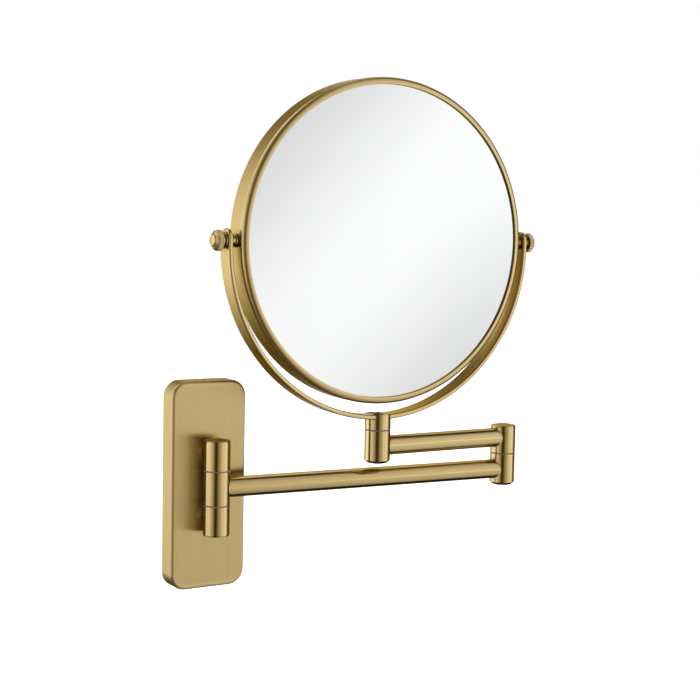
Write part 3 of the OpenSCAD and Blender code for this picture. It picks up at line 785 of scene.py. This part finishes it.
def glasses():
    edge = FRAME_R - BAND_WALL - 0.3
    front = FRAME_T / 2 - LIP_T - 0.05
    pane = turned("front_pane", rounded([
        (0, front - GLASS_T), (edge, front - GLASS_T, 0.3), (edge, front, 0.4), (edge - 4, front), (0, front),
    ], closed=False), AT_TILT, 240, closed=False)
    finish_piece(pane, "mirror", GLASS, "mirror_glass", "plain_glass")

    rim_r = FRAME_R - BAND_WALL - 1.3
    rim_z = -FRAME_T / 2 + LIP_T + 0.05
    centre_z = rim_z - sqrt(MAGNIFIER_CURVE_R ** 2 - rim_r ** 2)
    steps = 24

    def sweep(radius):
        radii = [rim_r * k / steps for k in range(steps + 1)]
        return [(r, centre_z + sqrt(radius ** 2 - r ** 2)) for r in radii]

    outline = sweep(MAGNIFIER_CURVE_R) + sweep(MAGNIFIER_CURVE_R + MAGNIFIER_T)[::-1]
    lens = turned("magnifying_pane", outline, AT_TILT, 240, closed=False)
    finish_piece(lens, "mirror", GLASS, "mirror_glass", "magnifying_glass")


def tilt_hardware():
    inner = FRAME_R
    outer = YOKE_R - STRIP_T - 0.05
    flange_r, waist_r, washer_r = 4.1, 3.2, 4.9
    stud_in = 93.5
    stud_out = THUMB_IN + 6
    spool = turned("tilt_spools", rounded([
        (STUD_R + 0.02, inner + 0.02), (flange_r, inner + 0.02, 0.3), (flange_r, inner + 1.3, 0.3),
        (waist_r, inner + 1.6, 0.2), (waist_r, outer - 1.3, 0.2), (flange_r, outer - 1.0, 0.3),
        (flange_r, outer, 0.3),
        (STUD_R + 0.02, outer),
    ], steps=3), ALONG_TILT, 64, flips=(1, -1))
    finish_piece(spool, "mirror", NUT_BRASS, "brushed_brass", "tilt_spacers")
    washer = turned("tilt_cup_washers", rounded([
        (STUD_R + 0.02, YOKE_R + 0.05), (washer_r, YOKE_R + 0.05, 0.15),
        (washer_r, THUMB_IN - 0.05, 0.35), (STUD_R + 0.02, THUMB_IN - 0.05),
    ], steps=3), ALONG_TILT, 64, flips=(1, -1))
    finish_piece(washer, "mirror", NUT_BRASS, "brushed_brass", "tilt_washers")
    stud = turned("tilt_stud_pair", rounded([
        (0, stud_in), (STUD_R, stud_in, 0.4), (STUD_R, stud_out, 0.4), (0, stud_out),
    ], closed=False), ALONG_TILT, 48, closed=False, flips=(1, -1))
    finish_piece(stud, "mirror", STEEL, "steel", "tilt_studs")


def thumb_nut(name, side, node, body):
    """Knurled nut, gripped between a and b, with a neck towards the yoke and a button end."""
    ridges, depth, per_ridge = 32, 0.38, 10
    grip_r, neck_r, button_r = 6.2, 3.9, 3.7
    a, b = THUMB_IN + 1.8, THUMB_IN + 6.7
    tip = b + 0.88
    socket_end = THUMB_IN + 6.1

    def knurl(angle, r, z):
        ends = min(1, max(0.0, (z - a) / 0.6)) * min(1, max(0.0, (b - z) / 0.8))
        rim = min(1, max(0.0, (r - grip_r + 0.5) / 0.5))
        wave = 1 - abs(((angle * ridges / (2 * pi)) % 1) - 0.5) * 2
        return r - depth * wave ** 1.3 * rim * (0.3 + 0.7 * ends)

    outline = rounded([
        (STUD_R, THUMB_IN), (neck_r, THUMB_IN, 0.25), (neck_r, a, 0.3), (grip_r - 0.3, a, 0.15),
        (grip_r, a + 0.5, 0.3), (grip_r, a + 1.2), (grip_r, b - 2.2), (grip_r, b - 1.8, 0.4),
        (grip_r - 1.95, b - 0.05, 0.2), (button_r + 0.25, b - 0.5, 0.1),
        (button_r + 0.02, b - 0.5, 0.05), (button_r, b, 0.05), (button_r, b + 0.3, 0.15),
        (button_r - 0.6, b + 0.72, 0.5), (0.4, tip, 1.5), (0, tip), (0, socket_end),
        (STUD_R, socket_end),
    ], steps=4)
    made = turned(name, outline, ALONG_TILT, ridges * per_ridge, relief=knurl, flips=(side,))
    finish_piece(made, body, NUT_BRASS, "brushed_brass", node)


# ---- Hidden CAD nodes that stay -----------------------------------------------------------------


def dress_nodes():
    """The nodes that stay as CAD shapes get their procedural materials."""
    finishes = {
        STEEL: ("wall_bracket", "knuckle_screws", "base_hinge_pin", "elbow_pin", "swivel_pin",
                "elbow_spring_washer", "swivel_spring_washer", "stud_nuts"),
        NYLON: ("base_bush", "elbow_bush", "swivel_bush"),
        FOAM: ("packing_ring",),
    }
    for material, names in finishes.items():
        for name in names:
            for slot in frame["nodes"][name].material_slots:
                slot.material = material


# ---- Studio -------------------------------------------------------------------------------------

CAMERA_PLACE = Vector((-0.4081, -0.8414, 0.1697))
CAMERA_YAW = radians(31.53)
CAMERA_PITCH = radians(5.27)
CAMERA_ROLL = radians(1.15)
CAMERA_LENS = 77.88


def camera():
    forward = Vector((sin(CAMERA_YAW) * cos(CAMERA_PITCH), cos(CAMERA_YAW) * cos(CAMERA_PITCH),
                      -sin(CAMERA_PITCH)))
    right = Vector((cos(CAMERA_YAW), -sin(CAMERA_YAW), 0))
    up = right.cross(forward)
    rolled_right = right * cos(CAMERA_ROLL) + up * sin(CAMERA_ROLL)
    rolled_up = up * cos(CAMERA_ROLL) - right * sin(CAMERA_ROLL)
    data = bpy.data.cameras.new("camera")
    data.lens = CAMERA_LENS
    data.clip_start = 0.01
    made = bpy.data.objects.new("camera", data)
    bpy.context.scene.collection.objects.link(made)
    made.matrix_world = Matrix.Translation(CAMERA_PLACE) @ Matrix(
        (rolled_right, rolled_up, -forward)).transposed().to_4x4()
    bpy.context.scene.camera = made


# Studio brightness round the object, by the angle from the direction of the dark card, to the
# left (negative) and to the right, in degrees
AROUND = ((-180, 0.95), (-168, 0.50), (-153, 0.34), (-145, 0.36), (-136, 0.66), (-127, 1.04),
          (-116, 1.19), (-100, 1.24), (-77, 1.0), (-55, 0.80), (-36, 0.56), (-27, 0.46),
          (-18, 0.24), (-11, 0.045), (5, 0.045), (11, 0.14), (17, 0.28), (27, 0.38), (36, 0.49),
          (45, 0.60), (55, 0.72), (65, 0.76), (77, 0.95), (90, 1.12), (99, 0.88), (110, 0.27),
          (122, 0.06), (138, 0.08), (155, 0.60), (180, 0.95))
# The same over the top and under the bottom: 0 is level in front, 90 straight up, 180 behind
OVER = ((-180, 1.0), (-167, 1.0), (-158, 0.75), (-150, 0.33), (-128, 0.10), (-112, 0.04),
        (-93, 0.08), (-76, 0.30), (-60, 0.50), (-36, 0.78), (-15, 0.90), (-8, 0.97), (3, 1.0),
        (34, 0.86), (58, 0.56), (73, 0.36), (84, 0.27), (97, 0.28), (103, 0.60), (112, 1.0),
        (130, 0.95), (142, 0.45), (150, 0.65), (157, 0.86), (167, 0.88), (180, 1.0))
# A brighter band across the studio's right side, which the glass shows from corner to corner
BAND_HEADING = radians(30.1)
BAND_HEIGHT = radians(-1.9)
BAND_LEAN = radians(48)
BAND_CORE, BAND_EDGE = radians(0.6), radians(6.2)       # off its middle line, full and faded out
BAND_FULL, BAND_END = radians(9), radians(16)           # along it, full and faded out
BAND_GAIN = 0.26
STUDIO_GAIN = 1.6


def tinted(level):
    """The studio's dark tones are warmer than its light ones."""
    warmth = min(1, max(0, (0.72 - level) / 0.72))
    coolness = max(0, level - 0.80)
    return (level, level * (1 - 0.22 * warmth + 0.10 * coolness),
            level * (1 - 0.66 * warmth + 0.60 * coolness), 1)


def ramp(tree, source, stops, colour):
    """Brightness curve over an angle in radians from -pi to pi."""
    turn = tree.nodes.new("ShaderNodeMapRange")
    for name, value in (("From Min", -pi), ("From Max", pi), ("To Min", 0), ("To Max", 1)):
        turn.inputs[name].default_value = value
    tree.links.new(source, turn.inputs["Value"])
    made = tree.nodes.new("ShaderNodeValToRGB")
    made.color_ramp.interpolation = "LINEAR"
    stops_made = made.color_ramp.elements
    while len(stops_made) < len(stops):
        stops_made.new(0.5)
    for stop, (angle, _) in zip(stops_made, stops):
        stop.position = (angle + 180) / 360
    for stop, (_, level) in zip(made.color_ramp.elements, stops):
        stop.color = colour(level)
    tree.links.new(turn.outputs["Result"], made.inputs["Fac"])
    return made.outputs["Color"]


def studio():
    world = bpy.data.worlds.new("studio")
    bpy.context.scene.world = world
    world.use_nodes = True
    tree = world.node_tree
    tree.nodes.clear()

    def math(operation, *values):
        made = tree.nodes.new("ShaderNodeMath")
        made.operation = operation
        for socket, value in zip(made.inputs, values):
            if isinstance(value, (int, float)):
                socket.default_value = value
            else:
                tree.links.new(value, socket)
        return made.outputs[0]

    def along(direction):
        made = tree.nodes.new("ShaderNodeVectorMath")
        made.operation = "DOT_PRODUCT"
        made.inputs[1].default_value = direction
        tree.links.new(tree.nodes["way"].outputs["Generated"], made.inputs[0])
        return made.outputs["Value"]

    def smooth(source, low, high):
        made = tree.nodes.new("ShaderNodeMapRange")
        made.interpolation_type = "SMOOTHSTEP"
        for name, value in (("From Min", low), ("From Max", high), ("To Min", 0), ("To Max", 1)):
            made.inputs[name].default_value = value
        tree.links.new(source, made.inputs["Value"])
        return made.outputs["Result"]

    def mix(how, factor, first, second):
        made = tree.nodes.new("ShaderNodeMix")
        made.data_type = "RGBA"
        made.blend_type = how
        for socket, value in ((made.inputs[0], factor), (made.inputs[6], first), (made.inputs[7], second)):
            if isinstance(value, (int, float, tuple)):
                socket.default_value = value
            else:
                tree.links.new(value, socket)
        return made.outputs[2]

    way = tree.nodes.new("ShaderNodeTexCoord")
    way.name = "way"
    card = Vector((-sin(CAMERA_YAW), -cos(CAMERA_YAW), 0))
    card_right = Vector((cos(CAMERA_YAW), -sin(CAMERA_YAW), 0))
    x, y, z = along((1, 0, 0)), along((0, 1, 0)), along((0, 0, 1))
    turn = math("ARCTAN2", along(card_right), along(card))
    over = math("ARCTAN2", z, math("MULTIPLY", y, -1))
    round_light = ramp(tree, turn, AROUND, tinted)
    over_light = ramp(tree, over, OVER, lambda level: (level, level, level, 1))
    side_on = math("SQRT", math("ADD", math("MULTIPLY", y, y), math("MULTIPLY", z, z)))
    level_light = mix("MIX", smooth(side_on, 0.2, 0.65), (1, 1, 1, 1), over_light)
    light = mix("MULTIPLY", 1.0, round_light, level_light)

    middle = Vector((sin(BAND_HEADING) * cos(BAND_HEIGHT), -cos(BAND_HEADING) * cos(BAND_HEIGHT),
                     sin(BAND_HEIGHT)))
    level = Vector((cos(BAND_HEADING), sin(BAND_HEADING), 0))
    across = level * sin(BAND_LEAN) - level.cross(middle) * -cos(BAND_LEAN)
    off_band = math("ABSOLUTE", along(across))
    across_fade = smooth(off_band, sin(BAND_EDGE), sin(BAND_CORE))
    band = math("MULTIPLY", across_fade, smooth(along(middle), cos(BAND_END), cos(BAND_FULL)))
    light = mix("ADD", math("MULTIPLY", band, BAND_GAIN), light, (1, 1, 1, 1))

    # Sharp reflections, which only the glass has, show the warm dark tones as neutral ones
    rays = tree.nodes.new("ShaderNodeLightPath")
    parts = tree.nodes.new("ShaderNodeSeparateColor")
    grey = tree.nodes.new("ShaderNodeCombineColor")
    tree.links.new(light, parts.inputs[0])
    for socket in grey.inputs[:3]:
        tree.links.new(parts.outputs["Red"], socket)
    light = mix("LIGHTEN", rays.outputs["Is Singular Ray"], light, grey.outputs[0])

    lit = tree.nodes.new("ShaderNodeBackground")
    tree.links.new(light, lit.inputs["Color"])
    lit.inputs["Strength"].default_value = STUDIO_GAIN
    plain = tree.nodes.new("ShaderNodeBackground")
    plain.inputs["Color"].default_value = (1, 1, 1, 1)
    choose = tree.nodes.new("ShaderNodeMixShader")
    tree.links.new(rays.outputs["Is Camera Ray"], choose.inputs[0])
    tree.links.new(lit.outputs[0], choose.inputs[1])
    tree.links.new(plain.outputs[0], choose.inputs[2])
    output = tree.nodes.new("ShaderNodeOutputWorld")
    tree.links.new(choose.outputs[0], output.inputs["Surface"])


def floor():
    half, level = 5000, -420
    corners = ((-half, -half), (half, -half), (half, half), (-half, half))
    work = Builder()
    work.face([work.vert(x, y, level) for x, y in corners], [(0, 0)] * 4)
    made = loose_object(work.mesh("floor"), AT_WALL)
    surface = Nodes("floor_paint")
    space = surface.node("ShaderNodeTexCoord").outputs["Object"]
    speckle = surface.noise(space, (30, 30, 30))
    paint = surface.blend(speckle, (0.93, 0.93, 0.93), (0.97, 0.97, 0.97))
    surface.link(paint, surface.shader.inputs["Base Color"])
    surface.fixed(roughness=0.9)
    surface.shader.inputs["Emission Color"].default_value = (1, 1, 1, 1)
    surface.shader.inputs["Emission Strength"].default_value = 0.9
    made.data.materials.append(surface.material)
    made.visible_glossy = False


cover_plate()
cover_screws()
hinges()
swivel_post()
yoke_strip()
yoke_screw()
mirror_frame()
rear_bezel()
glasses()
tilt_hardware()
thumb_nut("left_thumb_nut", -1, "thumb_nut_left", "thumb_nut_left")
thumb_nut("right_thumb_nut", 1, "thumb_nut_right", "thumb_nut_right")
dress_nodes()
camera()
studio()
floor()
bpy.context.scene.view_settings.view_transform = "Standard"
